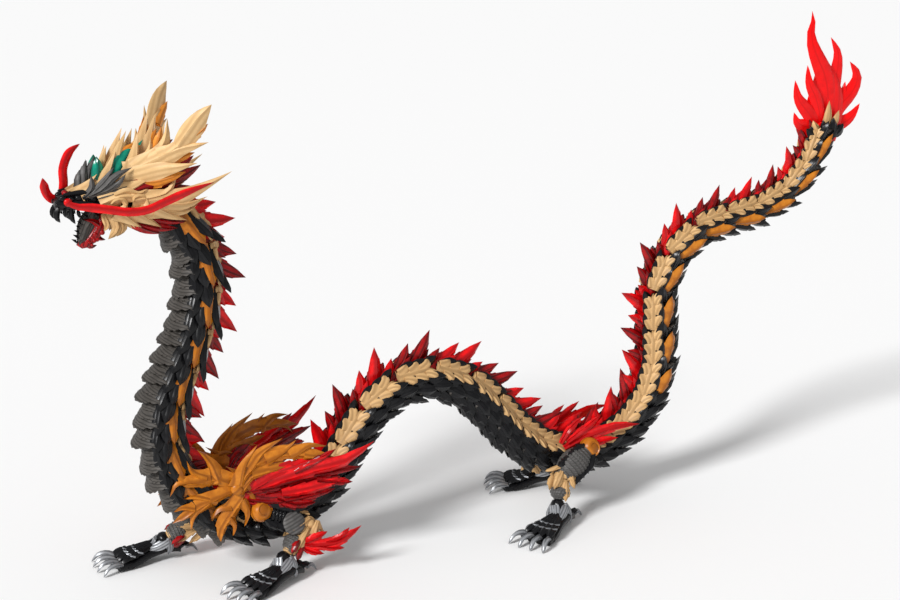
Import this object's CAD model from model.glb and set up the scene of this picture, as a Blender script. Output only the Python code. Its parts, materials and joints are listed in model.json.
"""Looks of the articulated dragon figure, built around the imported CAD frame.

Every sculpted form is a leaf, a tube, a scute or a bead, drawn in millimetres in the frame of the CAD
joint that carries it, and then placed in the figure's own frame in metres.
"""
import json
import random
from math import copysign, cos, pi, radians, sin, sqrt, tan

import bmesh
import bpy
from mathutils import Matrix, Vector


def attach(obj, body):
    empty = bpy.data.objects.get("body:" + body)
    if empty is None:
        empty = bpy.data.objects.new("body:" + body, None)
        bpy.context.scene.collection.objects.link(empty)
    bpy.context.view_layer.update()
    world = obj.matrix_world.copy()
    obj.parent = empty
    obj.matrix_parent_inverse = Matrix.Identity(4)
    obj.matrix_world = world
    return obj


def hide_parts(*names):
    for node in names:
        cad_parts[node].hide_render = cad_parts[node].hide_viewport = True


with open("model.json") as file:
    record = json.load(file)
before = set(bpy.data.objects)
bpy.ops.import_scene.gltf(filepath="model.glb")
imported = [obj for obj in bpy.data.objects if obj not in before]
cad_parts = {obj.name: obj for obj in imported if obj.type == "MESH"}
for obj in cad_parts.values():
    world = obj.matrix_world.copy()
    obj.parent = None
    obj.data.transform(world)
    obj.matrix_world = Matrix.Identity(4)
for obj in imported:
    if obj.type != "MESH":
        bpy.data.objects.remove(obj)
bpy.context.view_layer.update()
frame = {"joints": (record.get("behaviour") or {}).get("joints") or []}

MM = 0.001
X, Y, Z = Vector((1, 0, 0)), Vector((0, 1, 0)), Vector((0, 0, 1))
rnd = random.Random(7)

# ---- the frame's joints

PIN = {j["name"]: Vector(j["pos_m"]) for j in frame["joints"]}
AXIS = {j["name"]: Vector(j["axis"]).normalized() for j in frame["joints"]}
NECK = [f"neck_{i}" for i in range(1, 10)]
BODY = [f"body_{i}" for i in range(1, 12)]
TAIL = [f"tail_{i}" for i in range(1, 13)]
SPINE = NECK + ["chest"] + BODY + ["hip"] + TAIL
PINS = ["head_hinge"] + [f"{n}_hinge" for n in NECK + BODY + ["hip"] + TAIL] + ["tail_flame_hinge"]
CHEST = SPINE.index("chest")
HIP = SPINE.index("hip")
TAIL_GIRTH = 0.66


def frame_of(origin, ahead, across=Y):
    """Millimetre frame at a joint: +X ahead, +Y across, +Z square to both."""
    x = ahead.normalized()
    y = (across - x * across.dot(x)).normalized()
    z = x.cross(y)
    m = Matrix((x, y, z)).transposed().to_4x4()
    return Matrix.Translation(origin) @ m @ Matrix.Scale(MM, 4)


def vertebra_frame(i):
    a, b = PIN[PINS[i]], PIN[PINS[i + 1]]
    return frame_of(a, b - a)


def girth(i):
    """Full girth as far as the hip, then tapering to the end of the tail."""
    first = HIP + 1
    if i <= first:
        return 1.0
    return 1 - (1 - TAIL_GIRTH) * (i - first) / (len(SPINE) - 1 - first)


# ---- shapes

class Shape:
    """Points and faces of one piece, with the grain place that its material reads."""

    def __init__(self):
        self.points = []
        self.grain = []
        self.faces = []

    def loft(self, rings, grains):
        """A closed skin over rings of points; a ring of one point is a tip."""
        starts = []
        for ring, grain in zip(rings, grains):
            starts.append(len(self.points))
            self.points += ring
            self.grain += grain
        for k in range(len(rings) - 1):
            self.join(starts[k], len(rings[k]), starts[k + 1], len(rings[k + 1]))
        for k in (0, len(rings) - 1):
            if len(rings[k]) > 1:
                self.cap(starts[k], len(rings[k]))

    def join(self, a, na, b, nb):
        n = max(na, nb)
        for j in range(n):
            k = (j + 1) % n
            if na == 1:
                self.faces.append((a, b + j, b + k))
            elif nb == 1:
                self.faces.append((a + j, b, a + k))
            else:
                self.faces.append((a + j, b + j, b + k, a + k))

    def cap(self, a, n):
        middle = sum((self.points[a + j] for j in range(n)), Vector()) / n
        self.points.append(middle)
        self.grain.append(self.grain[a])
        for j in range(n):
            self.faces.append((a + j, a + (j + 1) % n, len(self.points) - 1))

    def add(self, other, move=None):
        """Adds another shape, moved by a matrix."""
        base = len(self.points)
        self.points += [move @ p if move else p.copy() for p in other.points]
        self.grain += other.grain
        self.faces += [tuple(base + v for v in f) for f in other.faces]

    def mirror(self):
        """Adds the mirror image across the middle plane."""
        copy = Shape()
        copy.add(self)
        self.add(copy, Matrix.Diagonal((1, -1, 1, 1)))


# Outlines are rows of (place along, left half width, right half width), as fractions

def lance_width(t, peak, base):
    if t < peak:
        return base + (1 - base) * sin(pi / 2 * t / peak)
    return cos(pi / 2 * (t - peak) / (1 - peak)) ** 0.9


def lance(peak=0.4, base=0.5, n=7):
    rows = [(k / n, lance_width(k / n, peak, base)) for k in range(n)]
    return [(t, w, w) for t, w in rows] + [(1, 0, 0)]


def horn(n=7, power=0.8):
    rows = [(k / n, (1 - k / n) ** power) for k in range(n)]
    return [(t, w, w) for t, w in rows] + [(1, 0, 0)]


def barbed(teeth, depth, peak, base):
    """A leaf whose edges step in after each barb; the right edge's barbs lie between the left's."""
    step, shift, last = 0.02, 0.5, 0.97
    marks = {0.0, peak}
    for k in range(teeth + 1):
        for s in (0, shift):
            for t in ((k + s) / teeth, (k + s) / teeth + step):
                if 0 < t < last:
                    marks.add(round(t, 4))

    def barb(t, s):
        part = (t * teeth - s - step * teeth / 2) % 1
        return lance_width(t, peak, base) * (1 - depth * (1 - part))

    return [(t, barb(t, 0), barb(t, shift)) for t in sorted(marks)] + [(1, 0, 0)]


def ribbon(n=24):
    """A long strip of even width that narrows at its root and runs out to a point."""
    widths = [min(1, 0.5 + 3 * k / n, 3.2 * (1 - k / n) ** 0.8) for k in range(n)]
    return [(k / n, w, w) for k, w in enumerate(widths)] + [(1, 0, 0)]


RIM = 0.2  # half the thickness of a blade's edge
LANCE = lance()
HORN = horn()
RIBBON = ribbon()


class Path:
    """A way through space with a frame at each place: ahead, side and up."""

    def __init__(self, points, ups):
        self.points = points
        self.ups = ups
        self.steps = [(b - a).length for a, b in zip(points, points[1:])]
        self.length = sum(self.steps)

    def __call__(self, t):
        want, k = t * self.length, 0
        while k < len(self.steps) - 1 and want > self.steps[k]:
            want -= self.steps[k]
            k += 1
        ahead = (self.points[k + 1] - self.points[k]).normalized()
        before = (self.points[k] - self.points[max(k - 1, 0)]).normalized()
        part = want / self.steps[k]
        at = self.points[k].lerp(self.points[k + 1], part)
        if before.length > 0:
            ahead = before.lerp(ahead, 0.5 + part / 2).normalized()
        up = self.ups[k]
        up = (up - ahead * up.dot(ahead)).normalized()
        return at, ahead, up.cross(ahead), up


def arc(at, ahead, up, length, bend=0, sweep=0, n=16):
    """A path that curls towards up by bend degrees and aside by sweep degrees."""
    ahead, up = Vector(ahead).normalized(), Vector(up)
    up = (up - ahead * up.dot(ahead)).normalized()
    side = up.cross(ahead)
    points, ups = [Vector(at)], []
    for k in range(n):
        t = (k + 0.5) / n
        turn = radians(sweep * t)
        rise = radians(bend * t)
        flat = ahead * cos(turn) + side * sin(turn)
        points.append(points[-1] + (flat * cos(rise) + up * sin(rise)) * (length / n))
        ups.append(up * cos(rise) - flat * sin(rise))
    return Path(points, ups + [ups[-1]])


def through(places, up, n=6):
    """A smooth path through places."""
    p = [Vector(v) for v in places]
    p = [2 * p[0] - p[1]] + p + [2 * p[-1] - p[-2]]
    points = []
    for a, b, c, d in zip(p, p[1:], p[2:], p[3:]):
        for k in range(n):
            t = k / n
            points.append(0.5 * (2 * b + (c - a) * t + (2 * a - 5 * b + 4 * c - d) * t * t
                                 + (3 * b - a - 3 * c + d) * t ** 3))
    points.append(p[-2])
    return Path(points, [Vector(up)] * len(points))


def blade(shape, path, width, thick, outline=LANCE, crest=0.0, ribs=1, rib=0.25, power=1.0,
          back=0.4, swept=0.0, across=6):
    """A sculpted blade along a path. Its crest runs at a place between the edges, -1 to 1; ribs
    ridges run along it; swept leans its barbs towards the tip; back is the underside's share."""
    seed = 17.0 * (len(shape.faces) % 89)
    rings, grains = [], []
    half = across // 2
    for t, left, right in outline:
        at, ahead, side, up = path(t)
        if left + right < 0.01:
            rings.append([at])
            grains.append([Vector((path.length, 0, seed))])
            continue
        body = min(1.0, 0.3 + 0.5 * (left + right))
        top, under, grain = [], [], []
        for j in range(across + 1):
            v = -1 + (crest + 1) * j / half if j <= half else crest + (1 - crest) * (j - half) / half
            reach = v * width / 2 * (left if v < 0 else right)
            peak = (1 + v) / (1 + crest) if v < crest else (1 - v) / (1 - crest)
            h = max(peak, 0.0) ** power
            if ribs > 1:
                h *= 1 - rib + rib * cos(pi * ribs * (v - crest))
            base = at + side * reach - ahead * (swept * (1 - abs(v)))
            top.append(base + up * (thick * body * h + RIM))
            under.append(base - up * (back * thick * body * max(peak, 0.0) ** power + RIM))
            grain.append(Vector((t * path.length, reach, seed)))
        rings.append(top + under[::-1])
        grains.append(grain + grain[::-1])
    shape.loft(rings, grains)


def tube(shape, stations, n=16, power=2.6):
    """A body along X: stations are (x, half width, lowest z, highest z, middle y)."""
    rings, grains = [], []
    for x, half, low, high, middle in stations:
        ring, grain = [], []
        for j in range(n):
            a = 2 * pi * j / n
            c, s = cos(a), sin(a)
            y = middle + half * copysign(abs(c) ** (2 / power), c)
            z = (low + high) / 2 + (high - low) / 2 * copysign(abs(s) ** (2 / power), s)
            ring.append(Vector((x, y, z)))
            grain.append(Vector((x, half * a, 5.0)))
        rings.append(ring)
        grains.append(grain)
    shape.loft(rings, grains)


def scute(shape, x0, x1, half_y, low, flare, span=78, thick=1.3, keel=2.4, columns=14):
    """A shield wrapped round the belly in three steps, flared and jagged at its rear edge."""
    rings, grains = [], []
    for k in range(columns + 1):
        a = radians(-span + 2 * span * k / columns)
        reach = keel * cos(a) ** 4 + (0.5 if k % 2 == 0 else -0.5)
        outer, inner, go, gi = [], [], [], []
        for t, step in ((0, 0), (0.32, 0.9), (0.34, 0), (0.64, 0.9), (0.66, 0), (1, 1.0)):
            x = x0 + (x1 + reach - x0) * t
            for line, glist, r in ((outer, go, flare * t + step), (inner, gi, flare * t - thick)):
                line.append(Vector((x, (half_y + r) * sin(a), -(low + r) * cos(a))))
                glist.append(Vector((half_y * a, x, 9.0)))
        rings.append(outer + inner[::-1])
        grains.append(go + gi[::-1])
    shape.loft(rings, grains)


def bead(shape, at, radii, n=12, rings_n=8):
    """An ellipsoid."""
    at = Vector(at)
    rings, grains = [], []
    for i in range(rings_n + 1):
        p = pi * i / rings_n
        z, r = cos(p), sin(p)
        if i in (0, rings_n):
            ring = [at + Vector((0, 0, z * radii[2]))]
        else:
            ring = [at + Vector((cos(2 * pi * j / n) * r * radii[0],
                                 sin(2 * pi * j / n) * r * radii[1], z * radii[2]))
                    for j in range(n)]
        rings.append(ring)
        grains.append([p.copy() for p in ring])
    shape.loft(rings, grains)


def drum(shape, at, axis, radius, height, ribs=0, n=28, dome=0.25):
    """A round boss with a domed face; ribs cuts grooves across its face."""
    at, axis = Vector(at), Vector(axis).normalized()
    u = axis.orthogonal().normalized()
    v = axis.cross(u)
    rings, grains = [], []
    profile = [(0.92, 0), (1, 0.12), (1, 0.62), (0.9, 0.84), (0.7, 0.96), (0.4, 1 + dome * 0.6),
               (0, 1 + dome)]
    for r, h in profile:
        if r == 0:
            rings.append([at + axis * (h * height)])
            grains.append([Vector((0, 0, 3))])
            continue
        ring, grain = [], []
        for j in range(n):
            a = 2 * pi * j / n
            p = u * (cos(a) * r * radius) + v * (sin(a) * r * radius)
            groove = 0.25 * cos(sin(a) * r * ribs * pi) if ribs else 0
            ring.append(at + p + axis * (h * height + groove))
            grain.append(Vector((cos(a) * r * radius, sin(a) * r * radius, 3)))
        rings.append(ring)
        grains.append(grain)
    shape.loft(rings, grains)


# ---- materials

class Paint:
    """A small helper around one material's nodes."""

    def __init__(self, name):
        self.mat = bpy.data.materials.new(name)
        self.mat.use_nodes = True
        self.tree = self.mat.node_tree
        self.bsdf = self.tree.nodes["Principled BSDF"]

    def node(self, kind, **values):
        n = self.tree.nodes.new(kind)
        for key, value in values.items():
            if key in n.inputs:
                n.inputs[key].default_value = value
            else:
                setattr(n, key, value)
        return n

    def link(self, a, b):
        self.tree.links.new(a, b)

    def grain(self, scale=(1, 1, 1)):
        """Grain places in millimetres, stretched by a scale for each axis."""
        source = self.node("ShaderNodeAttribute", attribute_name="grain").outputs["Vector"]
        mapping = self.node("ShaderNodeMapping")
        mapping.inputs["Scale"].default_value = scale
        self.link(source, mapping.inputs["Vector"])
        return mapping.outputs["Vector"]

    def ramp(self, source, stops):
        r = self.node("ShaderNodeValToRGB")
        while len(r.color_ramp.elements) < len(stops):
            r.color_ramp.elements.new(0.5)
        for element, (place, colour) in zip(r.color_ramp.elements, stops):
            element.position = place
            element.color = (*colour, 1) if len(colour) == 3 else colour
        self.link(source, r.inputs["Fac"])
        return r.outputs["Color"]

    def mix(self, factor, a, b):
        m = self.node("ShaderNodeMix", data_type="RGBA")
        for key, value in ((0, factor), (6, a), (7, b)):
            if isinstance(value, bpy.types.NodeSocket):
                self.link(value, m.inputs[key])
            else:
                m.inputs[key].default_value = value if key == 0 else (*value, 1)
        return m.outputs[2]


# Texture scales, on coordinates in millimetres: WAVE_PER_MM gives one carved line to a millimetre
WAVE_PER_MM = 0.314
FLECK = 2.2
MOTTLE = 0.18


def plastic(name, light, dark, groove, roughness, line=0.55, distortion=3.0, depth=0.25,
            along=0.12, edge=0.8, **sockets):
    """Moulded plastic: carved lines along the grain, mottled tone and a fine grained surface.
    groove is the darkening in the carved lines, line their number per millimetre, edge their softness."""
    p = Paint(name)
    coarse = p.node("ShaderNodeTexNoise", Scale=MOTTLE, Detail=4.0, Roughness=0.6)
    p.link(p.grain(), coarse.inputs["Vector"])
    tone = p.ramp(coarse.outputs["Fac"], [(0.32, dark), (0.68, light)])
    lines = p.node("ShaderNodeTexWave", Scale=WAVE_PER_MM * line, Distortion=distortion, Detail=2.0)
    lines.inputs["Detail Scale"].default_value = 1.2
    lines.bands_direction = "Y"
    p.link(p.grain((along, 1, 1)), lines.inputs["Vector"])
    cut = p.ramp(lines.outputs["Fac"], [(0.0, (0, 0, 0)), (edge, (1, 1, 1))])
    colour = p.mix(cut, [c * groove for c in dark], tone)
    p.link(colour, p.bsdf.inputs["Base Color"])
    fine = p.node("ShaderNodeTexNoise", Scale=FLECK, Detail=3.0)
    p.link(p.grain(), fine.inputs["Vector"])
    rough = p.node("ShaderNodeMapRange")
    rough.inputs["To Min"].default_value = roughness - 0.08
    rough.inputs["To Max"].default_value = roughness + 0.1
    p.link(fine.outputs["Fac"], rough.inputs["Value"])
    p.link(rough.outputs["Result"], p.bsdf.inputs["Roughness"])
    height = p.mix(0.12, cut, fine.outputs["Color"])
    bump = p.node("ShaderNodeBump", Strength=0.6, Distance=depth * MM)
    p.link(height, bump.inputs["Height"])
    p.link(bump.outputs["Normal"], p.bsdf.inputs["Normal"])
    p.bsdf.inputs["Specular IOR Level"].default_value = 0.28
    for key, value in sockets.items():
        p.bsdf.inputs[key.replace("_", " ")].default_value = value
    return p.mat


BLACK = plastic("black_plastic", (0.010, 0.010, 0.011), (0.005, 0.005, 0.006), 0.9, 0.24,
                line=0.5, distortion=1.5, depth=0.10, Specular_IOR_Level=0.2)
BELLY = plastic("belly_grey", (0.085, 0.076, 0.068), (0.045, 0.040, 0.035), 0.5, 0.5,
                line=0.6, distortion=6.0, depth=0.22, along=0.35, edge=0.35,
                Specular_IOR_Level=0.25)
BEIGE = plastic("beige_plastic", (0.66, 0.42, 0.19), (0.54, 0.32, 0.135), 0.75, 0.5,
                line=0.3, distortion=5.0, depth=0.22, along=0.3)
HORN_BEIGE = plastic("horn_beige", (0.76, 0.51, 0.25), (0.66, 0.41, 0.18), 0.85, 0.45,
                     line=0.3, distortion=1.2, depth=0.14, along=0.06)
ORANGE = plastic("orange_plastic", (0.84, 0.32, 0.04), (0.68, 0.22, 0.02), 0.7, 0.42,
                 line=0.35, distortion=3.0, depth=0.2, along=0.2)
AMBER = plastic("amber_plastic", (0.60, 0.205, 0.016), (0.38, 0.11, 0.006), 0.75, 0.32,
                line=0.2, distortion=6.0, depth=0.25, along=0.4, edge=0.35)
SILVER = plastic("silver_paint", (0.50, 0.51, 0.53), (0.30, 0.31, 0.33), 0.5, 0.34,
                 line=0.6, distortion=1.0, depth=0.2, Metallic=0.5)
GREY_RIB = plastic("grey_plastic", (0.13, 0.125, 0.12), (0.075, 0.071, 0.068), 0.7, 0.45,
                   line=0.5, distortion=0.6, depth=0.2, along=0.02)
RED = plastic("clear_red", (0.86, 0.005, 0.007), (0.40, 0.002, 0.004), 0.8, 0.22,
              line=0.25, distortion=3.0, depth=0.12, Emission_Color=(0.9, 0.006, 0.006, 1),
              Emission_Strength=0.05)
FLAME_RED = plastic("flame_red", (0.88, 0.003, 0.004), (0.70, 0.002, 0.003), 0.9, 0.3,
                    line=0.1, distortion=2.0, depth=0.05, edge=0.04,
                    Specular_IOR_Level=0.2, Emission_Color=(0.9, 0.003, 0.003, 1),
                    Emission_Strength=0.06)
DEEP_RED = plastic("deep_red", (0.44, 0.004, 0.006), (0.16, 0.0015, 0.0025), 0.6, 0.26,
                   line=0.35, distortion=2.5, depth=0.3, edge=0.5)
GREEN = plastic("clear_green", (0.01, 0.32, 0.20), (0.0, 0.14, 0.10), 0.7, 0.16,
                line=0.3, distortion=2.0, depth=0.2, Emission_Color=(0.0, 0.3, 0.18, 1),
                Emission_Strength=0.06)


# ---- pieces

SHARP = radians(38)


def piece(name, shape, place, body, material, *stands_for):
    """One Blender piece: the shape placed in the figure's frame, riding on a CAD body."""
    mesh = bpy.data.meshes.new(name)
    mesh.from_pydata([place @ p for p in shape.points], [], shape.faces)
    grain = mesh.attributes.new("grain", "FLOAT_VECTOR", "POINT")
    grain.data.foreach_set("vector", [c for g in shape.grain for c in g])
    bm = bmesh.new()
    bm.from_mesh(mesh)
    bmesh.ops.recalc_face_normals(bm, faces=bm.faces)
    bm.to_mesh(mesh)
    bm.free()
    mesh.materials.append(material)
    obj = bpy.data.objects.new(name, mesh)
    bpy.context.scene.collection.objects.link(obj)
    mesh.shade_smooth()
    mesh.set_sharp_from_angle(angle=SHARP)
    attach(obj, body)
    if stands_for:
        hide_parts(*stands_for)


def pieces_on(body, place):
    """Makes pieces that share a body and a place."""
    def part(name, shape, material, *stands_for):
        piece(name, shape, place, body, material, *stands_for)
    return part


# ---- vertebrae

def flank(angle):
    """The directions outwards and downwards at an angle from the back, on the right side."""
    a = radians(angle)
    return Vector((0, sin(a), cos(a))), Vector((0, cos(a), -sin(a)))


def feather(shape, g, angle, x, length, width, thick=1.7, flare=0.16, droop=0.0, bend=4,
            outline=LANCE, **sculpt):
    """A scale on the flank, pointing to the tail; flare lifts it off, droop turns it downwards."""
    out, down = flank(angle)
    at = Vector((x, SKIN_Y * g * out.y, SKIN_Z * g * out.z))
    blade(shape, arc(at, X + out * flare + down * droop, out, length, bend), width * g, thick,
          outline, **sculpt)


SKIN_Y, SKIN_Z = 9, 10  # where the scales' roots lie, off the line of the pins
TEARDROP = lance(0.55, 0.35, 8)
THORN = horn(9, 1.15)
SWEPT = barbed(4, 0.24, 0.45, 0.6)
SCALLOP = barbed(4, 0.34, 0.3, 0.85)
JAGGED = barbed(2, 0.35, 0.5, 0.5)


def core(shape, g):
    """The closed inner body under the scales."""
    tube(shape, [(0.8, 4.2 * g, -4.5 * g, 4.2 * g, 0), (2.5, 7.4 * g, -8.4 * g, 7.2 * g, 0),
                 (21, 7.4 * g, -8.4 * g, 7.2 * g, 0), (22.7, 4.2 * g, -4.5 * g, 4.2 * g, 0)], n=12)


def neck_scales(g):
    """Glossy teardrop feathers in two rows towards the back, over the neck's wide belly plates."""
    s = Shape()
    core(s, g)
    side = Shape()
    for x in (-2, 9.5):
        feather(side, g, 112, x, 20, 8.5, 2.2, 0.30, 0.05, outline=TEARDROP)
        feather(side, g, 93, x + 5, 20, 8.5, 2.2, 0.32, outline=TEARDROP)
    feather(side, g, 58, 0, 23, 8.5, 2.0, 0.34, outline=TEARDROP)
    feather(side, g, 44, 9, 22, 8, 2.0, 0.42, outline=TEARDROP)
    side.mirror()
    s.add(side)
    return s


def body_scales(g, amber_row):
    """Four rows of black feathers down the flank, the lower ones jagged, and spikes on the back."""
    s = Shape()
    core(s, g)
    side = Shape()
    for x in (-1.5, 10):
        feather(side, g, 79, x, 19, 9, 2.3, 0.18, 0.02, outline=TEARDROP)
        feather(side, g, 124, x + 0.5, 17, 10.5, 1.8, 0.34, 0.18, outline=JAGGED, swept=1)
    for x in (4, 15):
        if not amber_row:
            feather(side, g, 101, x, 18, 9.5, 2.1, 0.28, 0.12, outline=TEARDROP)
        feather(side, g, 147, x + 1, 15, 11, 1.8, 0.40, 0.20, outline=JAGGED, swept=1)
    for x in (-1, 6.5, 14):
        blade(side, arc((x, 4.6 * g, 7 * g), (0.84, 0.08, 0.54), (0, 1, -0.1), 14 * g, 0, 12), 7 * g, 1.5,
              TEARDROP, back=1)
    side.mirror()
    s.add(side)
    return s


def belly(g, flared):
    """Two belly scutes with jagged rear edges; the neck's flare out further."""
    s = Shape()
    if flared:
        for x0, x1 in ((-0.5, 11.8), (11.2, 23.6)):
            scute(s, x0, x1, 9.2 * g, 9.4 * g, 6 * g, span=66, thick=1.5, keel=4.2, columns=16)
    else:
        for x0, x1 in ((0.6, 11.8), (11.6, 23.2)):
            scute(s, x0, x1, 8 * g, 9.4 * g, 4.2 * g, keel=3.4)
    return s


def band(g, angle):
    """Cloud band beside the back: a scalloped leaf with curled leaflets in relief on it."""
    s = Shape()
    out, down = flank(angle)
    small = 0.5 + 0.5 * g
    feather(s, g, angle, -1, 24, 12, 2.4, 0.03, 0, 0, outline=SCALLOP, power=0.45)
    for k in range(3):
        for side, start in ((-1, 0), (1, 2.5)):
            at = Vector((start + 7 * k, 10.4 * g * out.y, 11.4 * g * out.z)) + down * (side * 2.2 * g)
            ahead = X + down * (side * 0.1) + out * 0.12
            blade(s, arc(at, ahead, out, 9.0 * small, -4, side * 50), 6.4 * small, 1.7,
                  lance(0.55, 0.85, 6), crest=0.4 * side, back=0.2, power=0.6, across=4)
    s.mirror()
    return s


# Place along, place across, lean in degrees, length, width
FIN_LEAVES = [
    (8, 0.6, 46, 31, 10.5), (-1.5, -0.6, 52, 24, 9.5), (15.5, -1.6, 34, 20, 9), (3, 2.0, 34, 22, 9),
    (11, 2.3, 32, 19, 8.5), (-3, -2.4, 36, 19, 8.5)]


def fin(g):
    """Overlapping red leaves leaning back: tall ones in the middle, low ones beside their roots."""
    s = Shape()
    for x, y, lean, length, width in FIN_LEAVES:
        a = radians(lean)
        blade(s, arc((x, y, 3.5 * g), (cos(a), 0.02 * y, sin(a)), Y, length * g, 0, -14),
              width * g, 1.9, barbed(2, 0.12, 0.35, 0.8), crest=0.2, back=1)
    return s


def accents(g, angle):
    """Amber wing scales along the flank."""
    s = Shape()
    feather(s, g, angle, -1.5, 24, 12.5, 2.4, 0.24, 0.04, outline=barbed(3, 0.22, 0.5, 0.5),
            crest=0.2, swept=1)
    s.mirror()
    return s


# Degrees from the middle of the back: first on the neck, then on the body and tail
BAND_ANGLE = (26, 52)
ACCENT_ANGLE = (74, 100)


def vertebrae():
    for i, name in enumerate(SPINE):
        g = girth(i)
        part = pieces_on(name, vertebra_frame(i))
        neck = name in NECK
        amber_row = neck or (name in TAIL and TAIL.index(name) >= 2)
        scales = neck_scales(g) if neck else body_scales(g, amber_row)
        part(f"{name}.scales", scales, BLACK, name)
        part(f"{name}.belly", belly(g, neck), BELLY)
        part(f"{name}.band", band(g, BAND_ANGLE[not neck]), BEIGE)
        if name != "chest":
            part(f"{name}.fin", fin(g), DEEP_RED if i % 2 else RED)
        if amber_row:
            part(f"{name}.accents", accents(g, ACCENT_ANGLE[not neck]), AMBER)


vertebrae()


# ---- sculpted strips

def strips(shape, rows, thick, outline=LANCE, up=(0, -1, 0), **sculpt):
    """Blades through places: each row is a width and the places from its root to its tip."""
    for width, *places in rows:
        blade(shape, through(places, up), width, thick, outline, **sculpt)


def sculpted(rows, thick, outline=LANCE, paired=True, **sculpt):
    s = Shape()
    strips(s, rows, thick, outline, **sculpt)
    if paired:
        s.mirror()
    return s


# ---- head

# Each row is a blade: its width, then the places it passes from root to tip, on the right side
CREST_SPIKES = [
    (13, (-42, -1, 19), (-39, 0, 30), (-36, 2, 42)), (15, (-34, 1, 21), (-31, 3, 36), (-25, 4, 50)),
    (11, (-45, -5, 17), (-37, -5, 29), (-31, -3, 40)),
    (16, (-27, -8, 20), (-23, -8, 34), (-19, -5, 49)), (14, (-18, 3, 26), (-14, 5, 41), (-9, 6, 58)),
    (10, (-11, 5, 28), (-8, 7, 41), (-4, 8, 54)), (10, (-56, -2, 16), (-50, -4, 21), (-43, -6, 28)),
    (10, (-52, -5, 16), (-45, -7, 21), (-38, -7, 28)),
    (13, (-38, -9, 18), (-27, -11, 20), (-14, -13, 25))]
ANTLER_STEM = [
    (12, (-25, -8, 27), (-12, -12, 33), (0, -18, 41), (10, -22, 53)),
    (12, (2, -19, 43), (8, -23, 52), (13, -26, 60), (19, -28, 67))]
ANTLER_THORNS = [
    (14, (-8, -14, 36), (2, -19, 41), (9, -21, 43), (17, -26, 46)),
    (20, (-26, -8, 24), (-10, -14, 29), (0, -18, 31), (11, -22, 34)),
    (17, (-21, -9, 28), (-10, -12, 37), (-5, -14, 46), (-4, -16, 58)),
    (12, (-20, -8, 29), (-14, -10, 38), (-13, -11, 47))]
ANTLER_ORANGE = [
    (7, (-17, -7, 31), (-10, -10, 42), (-7, -12, 53)), (8, (-12, -10, 29), (0, -14, 35), (10, -18, 39)),
    (9, (-24, -8, 22), (-10, -12, 23), (5, -16, 28)), (6, (6, -18, 45), (11, -22, 50), (17, -25, 56))]
CREST_ORANGE = [
    (8, (-34, 0, 25), (-27, 2, 34), (-17, 4, 41)), (7, (-16, 2, 30), (-12, 5, 42), (-9, 7, 50))]
CREST_GEMS = [
    (7, (-43, -4, 24), (-42, -4, 31), (-42, -3, 37)), (10, (-32, -4, 25), (-28, -4, 33), (-22, -3, 40)),
    (8, (-18, -1, 32), (-16, 0, 37), (-14, 1, 43))]
CREST_RED = [(12, (-32, -6, 22), (-20, -8, 28), (-6, -8, 36)), (8, (-16, 0, 28), (-8, 0, 36), (2, 2, 42))]
CREST_DARK = [
    (6, (-49, -2, 19), (-49, -1, 27), (-47, 1, 35)), (5, (-52, -2, 18), (-52, -1, 24), (-51, 0, 30)),
    (5, (-47, -1, 20), (-46, 0, 28), (-42, 2, 36))]
BROW_FRILL = [
    (5, (-50, -7, 16), (-42, -10, 20), (-35, -12, 27), (-25, -12, 31)),
    (4.5, (-46, -8, 17), (-38, -11, 20), (-31, -12, 25)),
    (4, (-44, -9, 15), (-36, -11, 17), (-28, -12, 21)),
    (4, (-51, -6, 16), (-47, -8, 21), (-47, -8, 28)),
    (4, (-46, -8, 19), (-40, -10, 25), (-35, -11, 32)),
    (3.5, (-42, -9, 18), (-34, -12, 22), (-29, -13, 28))]
MANE = [
    (12, (-42, -9, 11), (-33, -12, 15), (-23, -13, 14), (-11, -14, 11)),
    (12, (-26, -13, 12), (-12, -15, 14), (-5, -16, 18), (-1, -16, 28)),
    (17, (-18, -14, 10), (0, -17, 13), (14, -21, 19), (28, -24, 26)),
    (13, (-22, -13, 8), (-8, -15, 5), (3, -16, 4), (10, -17, 8)),
    (11, (-28, -12, 7), (-18, -13, 1), (-9, -13, -5)),
    (10, (-35, -11, 7), (-27, -12, 1), (-20, -12, -4)), (11, (-12, -15, 9), (3, -17, 8), (15, -19, 12)),
    (9, (-14, -15, 7), (-4, -16, 2), (4, -16, -1))]
MANE_CURLS = [
    (3.4, (-40, -12, 9), (-34, -13, 8), (-30, -14, 11), (-33, -14, 15), (-38, -13, 13), (-36, -13, 11)),
    (3.4, (-28, -14, 8), (-21, -15, 8), (-18, -15, 12), (-22, -15, 16), (-27, -15, 14), (-24, -15, 12)),
    (3, (-36, -12, 17), (-29, -13, 19), (-23, -14, 17), (-18, -15, 19)),
    (3, (-16, -15, 8), (-8, -16, 9), (-3, -16, 13)), (3, (-14, -15, 13), (-4, -17, 15), (6, -19, 18))]
MANE_RED = [
    (6, (-30, -9, 3), (-20, -11, -4), (-10, -12, -8)), (7, (-24, -10, 5), (-8, -12, 0), (6, -12, -3)),
    (6, (-26, -10, 1), (-12, -12, -4), (0, -12, -6)),
    (12, (-30, -10, 17), (-14, -12, 20), (2, -12, 23), (15, -10, 28)),
    (12, (-22, -9, 13), (-4, -10, 14), (11, -10, 16)), (9, (-20, -9, 7), (-6, -11, 6), (8, -12, 5)),
    (7, (-10, -8, 24), (2, -8, 27), (12, -7, 33))]
JAW_CORNER = [
    (8, (-40, -7, 9), (-35, -9, 3), (-34, -9, -3), (-39, -7, -9)),
    (6, (-34, -8, 4), (-31, -9, -2), (-34, -7, -8)), (5, (-41, -7, 6), (-39, -8, 0), (-41, -7, -4)),
    (6, (-31, -9, 4), (-26, -10, -1), (-24, -9, -5))]
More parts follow.
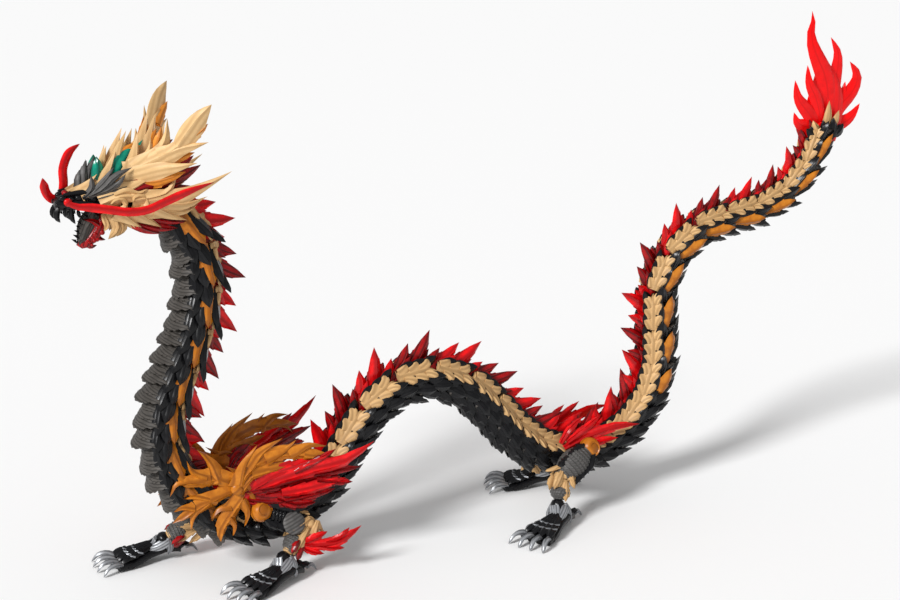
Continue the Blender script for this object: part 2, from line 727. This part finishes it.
# Beads of the snout: place along, across, up and size
NOSE = [
    (-62, 4, 16, 2.4), (-58, 5.4, 15.4, 2.0), (-54, 5.8, 15.8, 2.2), (-50, 6.4, 15.8, 2.4),
    (-46, 7, 14.5, 2.2), (-42, 7.8, 13.5, 2.4), (-58, 3.4, 18.2, 1.5), (-53.5, 3.8, 18.6, 1.7)]
# Stations of the skull and the jaw: place along, half width, lowest, highest, middle
SKULL = [
    (-66, 2.4, 10, 14, 0), (-64.5, 4.4, 8.4, 16.4, 0), (-60, 5.2, 8.0, 17.4, 0),
    (-54, 5.7, 8.0, 17.6, 0), (-48, 6.6, 7.6, 18.4, 0), (-44, 7.6, 7.0, 20, 0), (-38, 8.6, 4, 22.5, 0),
    (-30, 9, 1, 24, 0), (-20, 9, -1.5, 24.5, 0), (-11, 8.4, -2.6, 22, 0), (-5, 5.6, -2.6, 13, 0)]
JAW = [
    (-21, 1.2, -1.4, 2.6, 0), (-19, 2.9, -3.2, 2, 0), (-14, 3.9, -5.4, 1, 0), (-8, 4.4, -5.6, 1, 0),
    (-3, 4.4, -5.0, 1.6, 0), (1.5, 3.4, -3, 2.6, 0)]
LIPS_AND_FANGS = [
    (5, (-66, -4, 13), (-56, -6, 12), (-46, -8, 11), (-37, -9, 10)),
    (3.4, (-62, -5, 18), (-52, -6, 18.5), (-44, -8, 18.5), (-38, -9, 17)),
    (3.6, (-65, -3.6, 11), (-66, -3.8, 6), (-64, -3.6, 2.5)),
    (3.2, (-58, -4.6, 10), (-58, -4.8, 5), (-56, -4.6, 1)),
    (2.4, (-61.5, -4.4, 10), (-61.5, -4.6, 7), (-60.5, -4.4, 5)),
    (2.2, (-54.5, -5.2, 9), (-54, -5.4, 6), (-53, -5.2, 4)),
    (7, (-40, -8.6, 10), (-30, -9.6, 9), (-18, -9.6, 6))]
ANTLER_FLARE = radians(14)


def skull_shape():
    s = Shape()
    tube(s, SKULL, n=24)
    side = Shape()
    for x, y, z, r in NOSE:
        bead(side, (x, -y, z), (r, r * 0.8, r * 0.85))
    strips(side, LIPS_AND_FANGS, 1.4)
    side.mirror()
    s.add(side)
    drum(s, (0, -1.8, 0), Y, 3, 3.6, n=20, dome=0)
    return s


def head():
    part = pieces_on("head", frame_of(PIN["head_hinge"], X))
    part("skull.plates", skull_shape(), BLACK, "skull")
    part("skull.frill", sculpted(BROW_FRILL, 1.7, crest=0.2, ribs=3), GREY_RIB)
    part("skull.corner", sculpted(JAW_CORNER, 2.0, ribs=3), BEIGE)
    ridge = Shape()
    for k in range(5):
        bead(ridge, (-60 + 3.2 * k, 0, 18 + 0.35 * k), (1.7, 2.4, 1.5))
    strips(ridge, [(4, (-56, -3, 17.5), (-51, -4, 19), (-46, -5, 20))], 1.4)
    part("skull.ridge", ridge, DEEP_RED)
    eyes = Shape()
    bead(eyes, (-44.5, -8, 17.6), (2.4, 1.1, 1.2))
    eyes.mirror()
    part("skull.eyes", eyes, GREEN)
    part("crest.spikes", sculpted(CREST_SPIKES, 2.4, THORN, crest=-0.35, back=0.6), HORN_BEIGE, "head_crest")
    part("crest.undersides", sculpted(CREST_ORANGE, 1.8, back=0.6), ORANGE)
    part("crest.gems", sculpted(CREST_GEMS, 1.8, lance(0.35, 0.8, 5), back=0.8), GREEN)
    part("crest.red", sculpted(CREST_RED, 1.6, back=0.6), DEEP_RED)
    part("crest.dark", sculpted(CREST_DARK, 1.4, barbed(2, 0.2, 0.3, 0.8), back=0.6), GREY_RIB)
    part("mane.plates", sculpted(MANE, 2.6, THORN, crest=0.3, power=0.8, back=0.2, ribs=3, rib=0.15),
         HORN_BEIGE, "cheek_mane")
    part("mane.curls", sculpted(MANE_CURLS, 1.8, lance(0.3, 0.6, 10)), HORN_BEIGE)
    part("mane.strands", sculpted(MANE_RED, 2.2, lance(0.3, 0.6, 8), ribs=3, rib=0.2), DEEP_RED)
    root = Vector((-22, -7, 0))
    flare = Matrix.Translation(root) @ Matrix.Rotation(-ANTLER_FLARE, 4, "Z") @ Matrix.Translation(-root)
    for side, flip in (("left", 1), ("right", -1)):
        turn = Matrix.Diagonal((1, flip, 1, 1)) @ flare
        horns, under = Shape(), Shape()
        horns.add(sculpted(ANTLER_STEM, 2.2, lance(0.35, 0.7, 8), paired=False, crest=0.35, power=0.8),
                  turn)
        horns.add(sculpted(ANTLER_THORNS, 2.2, THORN, paired=False, crest=0.3, power=0.8), turn)
        under.add(sculpted(ANTLER_ORANGE, 1.8, barbed(2, 0.2, 0.4, 0.75), paired=False), turn)
        part(f"antler_{side}.horns", horns, HORN_BEIGE, f"antler_{side}")
        part(f"antler_{side}.under", under, ORANGE)


WHISKER_LEFT = [
    (4.8, (-61, -7, 14), (-55, -9, 11.5), (-49, -11, 11), (-39, -15, 9.5), (-30, -18, 8),
     (-20, -20, 8.5), (-10, -22, 12.5), (2, -25, 17.5), (16, -28, 22))]
WHISKER_RIGHT = [
    (5, (-60, 7, 13), (-65, 7, 13.5), (-68.5, 6.5, 18), (-70, 6, 26)),
    (5, (-65, 7, 14), (-59.5, 8.5, 15), (-57.6, 9.5, 21), (-57.2, 10.5, 29), (-53, 12, 37),
     (-46, 14, 41))]


def whiskers():
    place = frame_of(PIN["head_hinge"], X)
    left = sculpted(WHISKER_LEFT, 0.8, RIBBON, paired=False, back=1, power=0.5)
    drum(left, (-60, -5.6, 14), -Y, 2.3, 2, n=16)
    piece("whisker_left.ribbon", left, place, "whisker_left", RED, "whisker_left")
    right = sculpted(WHISKER_RIGHT, 0.8, RIBBON, paired=False, back=1, power=0.5)
    drum(right, (-60, 5.6, 14), Y, 2.3, 2, n=16)
    piece("whisker_right.ribbon", right, place, "whisker_right", RED, "whisker_right")


JAW_OPEN = radians(52)
TONGUE = [
    (8, (-1, -2.4, 4.5), (-8, -2.6, 4.6), (-15, -2.4, 2.8), (-20.5, -1.6, 1.6)),
    (8, (-1, 2.4, 4.5), (-8, 2.6, 4.6), (-15, 2.4, 2.8), (-20.5, 1.6, 1.6)),
    (5, (0, 0, 3), (-8, 0, 4.5), (-17, 0, 3.4))]
JAW_SPIKES = [
    (4, (-11, 0, -4), (-11, 0, -7), (-10, 0, -10)), (4.4, (-17, 0, -2), (-17.5, 0, -5), (-15, 0, -7.5)),
    (4, (-5, -3, 0), (-5, -4, 4), (-7, -4, 9)), (4, (-5, 3, 0), (-5, 4, 4), (-7, 4, 9)),
    (3, (-1, 0, -4), (0, 0, -7), (2, 0, -9))]


def jaw():
    part = pieces_on("jaw", frame_of(PIN["jaw_hinge"], Vector((cos(JAW_OPEN), 0, sin(JAW_OPEN)))))
    s = Shape()
    tube(s, JAW, n=20)
    for k in range(26):
        at = (rnd.uniform(-18, 0), rnd.choice((-1, 1)) * rnd.uniform(2.6, 4), rnd.uniform(-4.6, 0.4))
        r = rnd.uniform(0.9, 1.6)
        bead(s, at, (r, r * 0.8, r), n=8, rings_n=5)
    strips(s, JAW_SPIKES, 1.6, HORN, back=1)
    part("lower_jaw.outer", s, DEEP_RED, "lower_jaw")
    tongue = Shape()
    strips(tongue, TONGUE, 1.2, lance(0.3, 0.9, 8), ribs=3, back=1)
    part("lower_jaw.tongue", tongue, BELLY)
    teeth = Shape()
    for k in range(7):
        for y in (-3, 3):
            x = -19.4 + 2.5 * k
            z = 3.4 + 0.72 * k
            blade(teeth, arc((x, y * (0.6 + 0.06 * k), min(z, 7.4)), (-0.2, 0, 1), Y, 2.8, n=4), 1.6, 0.6,
                  horn(4), back=1, across=4)
    part("lower_jaw.teeth", teeth, BLACK)


head()
whiskers()
jaw()


# ---- tail flame

FLAME = [
    (14, (1, 0, -4), (5, 0, 16), (1, -1, 33), (-7, -2, 47), (-11, -1, 59), (-9, 0, 67), (-10, 0, 75)),
    (12, (3, 1, -2), (9, 2, 18), (12, 2, 33), (12, 1, 46), (6, 1, 57)),
    (13, (4, 0, -2), (15, 1, 12), (25, 2, 20), (29, 2, 30), (22, 1, 40)),
    (7, (8, 1, 4), (17, 2, 17), (20, 2, 27)), (10, (4, 0, -3), (14, 1, -1), (24, 1, 3), (31, 0, 12)),
    (9, (0, -1, 4), (-6, -2, 20), (-12, -3, 30), (-13, -2, 41)),
    (10, (-1, 0, -1), (-10, -1, 10), (-19, -2, 20), (-22, -2, 32)),
    (9, (-2, 0, -4), (-11, 0, 1), (-18, -1, 4), (-21, -1, 11)),
    (30, (1, 0, -10), (3, 0, 10), (3, 0, 26), (-1, 0, 46))]
FLAME_CUP = [
    (7, (0, -3, -9), (3, -4, 4), (4, -4, 17)), (6, (4, -3, -4), (9, -4, 3), (12, -4, 10)),
    (6, (-2, -3, -4), (-6, -4, 0), (-8, -4, 5))]
FLAME_SCALES = [
    (7, (-5, -3, -6), (-8, -4, -4), (-13, -4, 0)), (7, (5, -4, -7), (7, -5, -2), (7, -5, 6)),
    (7, (0, -4, -8), (0, -5, -2), (-1, -5, 5)), (7, (8, -3, -6), (12, -4, -4), (16, -4, 1))]


def flame():
    part = pieces_on("tail_flame", frame_of(PIN["tail_flame_hinge"], X))
    fire = sculpted(FLAME, 1.7, lance(0.3, 0.8, 12), paired=False, back=1, crest=-0.6, power=0.45)
    drum(fire, (0, -3, 0), Y, 3, 6, n=16, dome=0)
    part("tail_flame.tongues", fire, FLAME_RED, "tail_flame")
    part("tail_flame.cup", sculpted(FLAME_CUP, 1.6), BEIGE)
    part("tail_flame.scales", sculpted(FLAME_SCALES, 1.8), BLACK)


# ---- chest and wings

ARMOUR = [
    (12, (12, -17, 24), (0, -16, 30), (-13, -15, 34), (-26, -15, 33), (-38, -14, 41)),
    (10.5, (2, -16, 25), (-12, -16, 22), (-22, -15, 18), (-30, -15, 13), (-37, -14, 9)),
    (12, (8, -17, 28), (2, -17, 18), (-4, -16, 9), (-8, -15, 1), (-8, -14, -8))]
ARMOUR_HOOKS = [
    (12, (-14, -15, 34), (-26, -15, 34), (-34, -15, 33), (-38, -15, 26)),
    (12, (-8, -15, 31), (-12, -14, 42), (-20, -12, 51)),
    (8.5, (-16, -15, 35), (-24, -15, 39), (-27, -14, 46)),
    (10.5, (-16, -15, 20), (-24, -15, 13), (-26, -14, 3)),
    (9.5, (-10, -15, 20), (-22, -15, 23), (-30, -14, 23)),
    (7, (-24, -15, 17), (-31, -15, 18), (-36, -14, 16)),
    (9.5, (7, -17, 24), (12, -17, 15), (8, -17, 6)), (9.5, (4, -17, 18), (8, -17, 9), (6, -16, 0)),
    (9.5, (10, -17, 24), (4, -17, 33), (-5, -17, 40)), (7, (-2, -16, 14), (-9, -15, 13), (-14, -15, 8)),
    (7, (-4, -16, 8), (0, -16, 2), (-1, -15, -5)), (8.5, (0, -17, 30), (6, -17, 34), (13, -18, 33))]
SHOULDER = [
    (11, (0, -19, 25), (7, -20, 37), (17, -21, 43), (30, -24, 45), (44, -28, 43), (61, -34, 38)),
    (8.5, (1, -19, 24), (10, -19, 33), (22, -22, 36), (36, -25, 38))]
SHOULDER_HOOKS = [
    (11, (8, -20, 38), (16, -21, 47), (28, -24, 54)),
    (9.5, (18, -22, 42), (28, -24, 46), (36, -25, 52)),
    (10.5, (1, -19, 27), (5, -20, 40), (14, -20, 51)),
    (8.5, (10, -20, 34), (22, -22, 35), (32, -24, 33)),
    (8.5, (2, -19, 24), (9, -19, 30), (17, -20, 34)),
    (9.5, (32, -25, 43), (42, -27, 48), (53, -30, 47)),
    (7, (40, -27, 43), (50, -30, 40), (56, -31, 34))]
WING_BRIGHT = [
    (12, (6, -17, 21), (22, -22, 28), (42, -30, 35), (61, -38, 40), (77, -44, 51)),
    (10, (8, -18, 23), (22, -22, 32), (36, -26, 37), (49, -29, 42)),
    (9, (26, -26, 21), (42, -30, 23), (62, -36, 28))]
WING_DARK = [
    (11, (16, -20, 22), (36, -25, 28), (55, -32, 32), (71, -38, 34)),
    (11, (8, -17, 17), (22, -22, 15), (40, -27, 17), (57, -33, 21)),
    (9, (5, -16, 19), (13, -17, 14), (24, -18, 11)), (9, (8, -16, 23), (14, -18, 31), (24, -20, 36)),
    (8, (24, -23, 17), (34, -26, 13), (46, -29, 13)), (10, (4, -17, 22), (16, -20, 24), (32, -24, 24)),
    (7, (34, -27, 33), (46, -31, 39), (57, -34, 46)), (7, (46, -31, 27), (57, -34, 26), (66, -37, 25))]


def chest():
    place = frame_of(PIN[PINS[CHEST]], X)
    plates = sculpted(ARMOUR, 2.4, SWEPT, ribs=3, rib=0.22, crest=0.3, power=0.7)
    plates.add(sculpted(ARMOUR_HOOKS, 2.8, THORN, crest=0.3, power=0.8))
    piece("chest_armour.plates", plates, place, "chest", AMBER, "chest_armour")
    for side, flip in (("left", 1), ("right", -1)):
        turn = Matrix.Diagonal((1, flip, 1, 1))
        for name, rows, hooks, material, knob in (
                ("shoulder_blade", SHOULDER, SHOULDER_HOOKS, AMBER, (1, -19, 25.5)),
                ("flame_wing", WING_BRIGHT, [], RED, (6.5, -16, 20))):
            leaves = sculpted(rows, 2.0, SWEPT, paired=False, ribs=3, rib=0.25, crest=-0.3, power=0.7,
                              back=0.5)
            strips(leaves, hooks, 2.4, THORN, crest=-0.3, power=0.8, back=0.5)
            drum(leaves, knob, (-0.34, -0.94, 0), 3.4, 2.6, n=20)
            s = Shape()
            s.add(leaves, turn)
            piece(f"{name}_{side}.leaves", s, place, f"{name}_{side}", material, f"{name}_{side}")
        dark = Shape()
        dark.add(sculpted(WING_DARK, 2.4, SWEPT, paired=False, ribs=3, rib=0.3, back=0.5), turn)
        piece(f"flame_wing_{side}.dark", dark, place, f"flame_wing_{side}", DEEP_RED)


def sockets():
    """The black sockets and pins that carry the legs' balls."""
    for girdle, end in (("chest", "front"), ("hip", "hind")):
        for side, out in (("left", -1), ("right", 1)):
            name = f"{end}_{side}_upper_hinge"
            place = Matrix.Translation(PIN[name]) @ Matrix.Scale(MM, 4)
            axis = AXIS[name] * out
            s = Shape()
            drum(s, axis * -12, axis, 7.6, 4.4, n=24, dome=0)
            drum(s, axis * -9, axis, 1.6, 13.5, n=12, dome=0.02)
            for k in range(9):
                a = 2 * pi * k / 9
                u = axis.orthogonal().normalized()
                ray = u * cos(a) + axis.cross(u) * sin(a)
                blade(s, arc(axis * -9.5 + ray * 4, ray + axis * 0.35, axis, 9, 10), 6.5, 1.6, TEARDROP)
            piece(f"{girdle}.socket_{side}", s, place, girdle, BLACK)


HIP_LEAVES = [
    (9, (-6, -11, 8), (10, -14, 14), (28, -17, 17), (44, -20, 16)),
    (7, (-4, -12, 12), (8, -14, 19), (20, -14, 26)), (7, (2, -12, 6), (16, -15, 9), (30, -17, 9)),
    (6, (-8, -11, 12), (-2, -12, 20), (8, -12, 27))]


def hip():
    piece("hip.leaves", sculpted(HIP_LEAVES, 2.0, barbed(3, 0.2, 0.4, 0.6), ribs=3, rib=0.3),
          vertebra_frame(HIP), "hip", RED)


flame()
chest()
sockets()
hip()


# ---- legs

TOE_OUT = {"front_left": 18, "front_right": 0, "hind_left": 28, "hind_right": 20}
TOE_STEP = 11.5
FOOT_DROP = 4.0
SPLAY = radians(20)


def ribbed(shape, x0, x1, r0, r1, pitch=2.1, groove=0.55, ahead=1.0, bulge=0.0):
    """A sleeve with rings cut round it; bulge rounds it towards both ends."""
    count = max(2, int((x1 - x0) / pitch))
    stations = [(x0 - 0.6, r0 * 0.6, -r0 * 0.6, r0 * 0.6, 0)]
    for k in range(count):
        for part, cut in ((0.05, groove), (0.25, 0), (0.75, 0), (0.95, groove)):
            t = (k + part) / count
            r = (r0 + (r1 - r0) * t) * (1 - bulge * (2 * t - 1) ** 2) - cut
            stations.append((x0 + (x1 - x0) * t, r, -r * ahead, r * ahead, 0))
    stations.append((x1 + 0.6, r1 * 0.6, -r1 * 0.6, r1 * 0.6, 0))
    tube(shape, stations, n=20, power=2.2)


def swirl(shape, radius, out):
    """A ball with a spiral rib on its outer face."""
    bead(shape, (0, 0, 0), (radius, radius, radius), n=24, rings_n=14)
    places = []
    for k in range(11):
        a = 0.55 * k
        r = radius * (0.92 - 0.06 * k)
        y = sqrt(radius ** 2 - r ** 2) + 0.1
        places.append((r * cos(a), out * y, r * sin(a)))
    blade(shape, through(places, (0, out, 0), 3), 1.5, 0.6, lance(0.3, 0.6, 14), across=4)
    brow = [(radius * 0.86, out * 3, 1), (radius * 0.98, out * 0.6, 2), (radius * 0.8, -out * 2, 4)]
    blade(shape, through(brow, (1, 0, 0.4), 3), 2.2, 0.7, across=4)


def upper_leg(leg, end, out):
    ball, knee = PIN[f"{leg}_upper_hinge"], PIN[f"{leg}_lower_hinge"]
    place = frame_of(ball, knee - ball, AXIS[f"{leg}_upper_hinge"])
    length = (knee - ball).length / MM
    globe = Shape()
    swirl(globe, 6.5, out)
    piece(f"{leg}_upper.ball", globe, place, f"{leg}_upper", AMBER, f"{leg}_upper")
    shell = Shape()
    ribbed(shell, 5.6, length - 3.4, 5.2, 4.6, ahead=1.15)
    for k in range(4):
        above = arc((2 + 4.2 * k, out * 3.6, 3.8), (0.8, out * 0.16, 0.5), (0, out, 0.5), 12, 0, -14)
        below = arc((3 + 4.6 * k, out * 3, -4.6), (0.86, out * 0.1, -0.4), (0, out, -0.6), 10, 0, 14)
        blade(shell, above, 7, 2, JAGGED)
        blade(shell, below, 6, 1.6, JAGGED)
    piece(f"{leg}_upper.shell", shell, place, f"{leg}_upper", BLACK)
    disc = Shape()
    if end == "front":
        drum(disc, (0.66 * length, out * 4, -2.4), (0, out, 0), 6.8, 2.6, ribs=5, dome=0.2)
    else:
        ribbed(disc, 4.5, length + 1, 9.4, 8.6, 2.4, 0.6, bulge=0.42)
    piece(f"{leg}_upper.disc", disc, place, f"{leg}_upper", GREY_RIB)


def lower_leg(leg, end):
    knee, ankle = PIN[f"{leg}_lower_hinge"], PIN[f"{leg}_foot_hinge"]
    place = frame_of(knee, ankle - knee, AXIS[f"{leg}_lower_hinge"])
    length = (ankle - knee).length / MM
    plates = Shape()
    bead(plates, (0, 0, 0), (4.6, 5.6, 4.6), n=16, rings_n=10)
    tube(plates, [(1, 3, -3, 3, 0), (3, 4.6, -4.6, 4.6, 0), (length * 0.6, 4.8, -5, 5, 0),
                  (length - 4, 3.8, -3.8, 3.8, 0), (length - 2.4, 2.4, -2.4, 2.4, 0)], n=14)
    for y in (-1, 1):
        for rise, start in ((0.34, -4), (-0.3, -2), (0.1, 4)):
            way = arc((start, y * 4.4, 8 * rise), (0.95, 0.12 * y, rise), (0, y, 0), length * 0.72,
                      -14, 20 * rise)
            blade(plates, way, 7, 1.8, JAGGED, ribs=3)
    for z in (1, -1):
        blade(plates, arc((-4, 0, 3.6 * z), (0.5, 0, 0.86 * z), (-0.8, 0, 0.5 * z), 9, 20), 8, 1.8, HORN)
    piece(f"{leg}_lower.plates", plates, place, f"{leg}_lower", BEIGE, f"{leg}_lower")
    cover = Shape()
    ribbed(cover, length * 0.42, length - (4 if end == "front" else 3), 6.8, 6.0, 1.9, 0.45, bulge=0.3)
    piece(f"{leg}_lower.cover", cover, place, f"{leg}_lower", GREY_RIB)
    if end == "front":
        fire = Shape()
        for lean in (-1.6, -0.8, 0, 0.8, 1.6):
            y, z = 5.2 * sin(lean), 5.2 * cos(lean)
            knot = (5, (length * 0.52, y, z), (length * 0.68, 1.2 * y, 1.2 * z),
                    (length * 0.9, 1.3 * y, 1.3 * z + 1))
            strips(fire, [knot], 1.8, JAGGED, (0, y, z), back=1)
        piece(f"{leg}_lower.knot", fire, place, f"{leg}_lower", DEEP_RED)


ELBOW_FLAME = [
    (8, (2, -2, 2), (12, -3, 1), (24, -4, 3), (37, -5, 12)),
    (6, (10, -3, 1), (18, -3, -1), (27, -4, -2)), (6, (4, -2, 3), (10, -3, 6), (17, -3, 9)),
    (5, (16, -3, 3), (24, -4, 5), (30, -4, 11)), (5, (2, -2, 0), (8, -3, -3), (15, -3, -5))]


def elbow_flame(leg, out):
    """The red flame that trails behind a front leg, low on its lower part."""
    knee, ankle = PIN[f"{leg}_lower_hinge"], PIN[f"{leg}_foot_hinge"]
    place = frame_of(knee.lerp(ankle, 0.7), X + Y * (0.25 * out))
    turn = Matrix.Diagonal((1, -out, 1, 1))
    leaves = sculpted(ELBOW_FLAME, 2.0, barbed(3, 0.2, 0.4, 0.6), paired=False, ribs=3, back=1)
    fire = Shape()
    fire.add(leaves, Matrix.Translation((4, 0, 0)) @ turn)
    piece(f"{leg}_lower.flame", fire, place, f"{leg}_lower", RED)


HAND = [
    (-24, 10.5, 0.3, 4.2, 0), (-18, 9.6, 1.0, 6.4, 0), (-8, 6.8, 3.4, 9.4, 0), (1, 5.4, 4.6, 10.6, 0),
    (8, 4.2, 3.6, 8.6, 0), (11, 2.8, 2.6, 6.4, 0)]
TOE = [(-31, 1.8, 0.8, 4.2, 0), (-27, 2.5, 0.4, 5.4, 0), (-21, 2.6, 0.3, 5.8, 0)]
THUMB = [(5, (6, 0, 4), (13, 0, 7), (18, 0, 6)), (5, (5, 2, 6), (10, 2, 8), (14, 2, 7))]
THUMB_CLAW = [(4, (15, 0, 5.6), (19, 0, 5), (22.4, 0, 0.6))]


def toe(hand, silver, k, top):
    """One toe with its tendon, two knuckle plates with silver edges, and a claw."""
    a = radians(TOE_STEP * k)
    c, d = cos(a), sin(a)

    def at(x, z, y=0.0):
        return x * c - y * d, x * d + y * c, z

    tendon = [(4, 1.6 * k, top - 4.5), at(-8, 10.2), at(-16, 8), at(-22, 6.4)]
    blade(hand, through(tendon, Z), 5.6, 1.8, lance(0.7, 0.5, 6), back=0.4)
    for x, z in ((-17, 5.6), (-22.5, 4.9)):
        plate = [at(x + 4, z + 2), at(x - 2, z + 2.4), at(x - 7.5, z - 0.6)]
        edge = [at(x + 1.5, z + 3, -3), at(x - 1, z + 3.4), at(x + 1.5, z + 3, 3)]
        blade(hand, through(plate, Z), 6.2, 1.5, lance(0.4, 0.8, 6), back=0.4)
        blade(silver, through(edge, Z), 1.0, 0.6, lance(0.5, 0.6, 6), across=4)
    bone = Shape()
    tube(bone, TOE, n=12)
    hand.add(bone, Matrix.Rotation(a, 4, "Z"))
    claw = [at(-28, 3.6), at(-33, 5.6), at(-38, 4.8), at(-42, 0.3)]
    blade(silver, through(claw, (-d, c, 0)), 4.6, 1.7, horn(8, 0.6), back=1)


def foot(leg, out):
    ankle = PIN[f"{leg}_foot_hinge"]
    shift = (ankle.z / MM - FOOT_DROP) * tan(SPLAY)
    turn = radians(-out * TOE_OUT[leg])
    ahead = Vector((cos(turn), sin(turn), 0))
    under = Vector((ankle.x, ankle.y + out * shift * MM, 0))
    place = frame_of(under, ahead, Vector((-ahead.y, ahead.x, 0)))
    top = ankle.z / MM
    hand, silver = Shape(), Shape()
    tube(hand, HAND, n=18, power=3.2)
    lean = -out * 3.2
    bead(hand, (0, lean, top - 0.5), (4.2, 4.6, 4.2), n=16, rings_n=9)
    for k in (-1.5, -0.5, 0.5, 1.5):
        toe(hand, silver, k, top)
    for k in (-1, 0, 1):
        a = radians(TOE_STEP * k)
        c, d = cos(a), sin(a)
        strip = [(2, 1.4 * k, top - 3.6), (-9 * c, -9 * d, 10.2), (-20 * c, -20 * d, 6.6)]
        blade(silver, through(strip, Z), 1.3, 0.9, lance(0.4, 0.4, 6), across=4)
    strips(hand, THUMB, 2, up=Y, back=1)
    strips(silver, THUMB_CLAW, 1.7, HORN, Y, back=1)
    for y in (-1, 1):
        cuff = [(6, (3, lean + 4.4 * y, top), (-3, lean * 0.6 + 5 * y, top - 3), (-10, 4.6 * y, 8.8)),
                (5, (2, lean + 4.4 * y, top + 1), (3, lean * 0.5 + 5 * y, top - 6), (2, 5.6 * y, 4))]
        strips(silver, cuff, 1.3, up=(-0.2, y, 0.5))
    shield = [(-4.4, lean, top + 1), (-5.6, lean * 0.5, top - 3), (-9, 0, top - 6)]
    blade(silver, through(shield, (-0.6, 0, 1)), 7, 1.4, lance(0.3, 0.8, 6))
    piece(f"{leg}_foot.hand", hand, place, f"{leg}_foot", BLACK, f"{leg}_foot")
    piece(f"{leg}_foot.claws", silver, place, f"{leg}_foot", SILVER)


for end in ("front", "hind"):
    for side, out in (("left", -1), ("right", 1)):
        leg = f"{end}_{side}"
        upper_leg(leg, end, out)
        lower_leg(leg, end)
        foot(leg, out)
        if end == "front":
            elbow_flame(leg, out)


# ---- surroundings

def stage():
    mesh = bpy.data.meshes.new("floor")
    half = 6.0
    corners = [(-half, -half, 0), (half, -half, 0), (half, half, 0), (-half, half, 0)]
    mesh.from_pydata(corners, [], [(0, 1, 2, 3)])
    floor = bpy.data.objects.new("floor", mesh)
    bpy.context.scene.collection.objects.link(floor)
    p = Paint("floor_white")
    p.bsdf.inputs["Base Color"].default_value = (0.95, 0.95, 0.95, 1)
    p.bsdf.inputs["Roughness"].default_value = 0.9
    mesh.materials.append(p.mat)


def aim(lamp, place, target):
    lamp.location = place
    lamp.rotation_mode = "QUATERNION"
    lamp.rotation_quaternion = (Vector(target) - Vector(place)).to_track_quat("-Z", "Y")
    bpy.context.scene.collection.objects.link(lamp)


def lights():
    world = bpy.data.worlds.new("studio")
    world.use_nodes = True
    world.node_tree.nodes["Background"].inputs["Color"].default_value = (1, 1, 1, 1)
    world.node_tree.nodes["Background"].inputs["Strength"].default_value = 0.46
    bpy.context.scene.world = world
    sun = bpy.data.lights.new("sun", "SUN")
    sun.energy = 3.2
    sun.angle = radians(14)
    aim(bpy.data.objects.new("sun", sun), (-0.75, -0.35, 0.55), (0, 0, 0))


def camera():
    azimuth, elevation, distance = radians(-26), radians(17), 1.21
    target = PIN["head_hinge"] + Vector((0.154, -0.038, -0.061))
    back = Vector((sin(azimuth) * cos(elevation), -cos(azimuth) * cos(elevation),
                   sin(elevation)))
    data = bpy.data.cameras.new("camera")
    data.lens = 83.4
    cam = bpy.data.objects.new("camera", data)
    aim(cam, target + back * distance, target)
    bpy.context.scene.camera = cam


stage()
lights()
camera()
bpy.context.scene.view_settings.view_transform = "Standard"
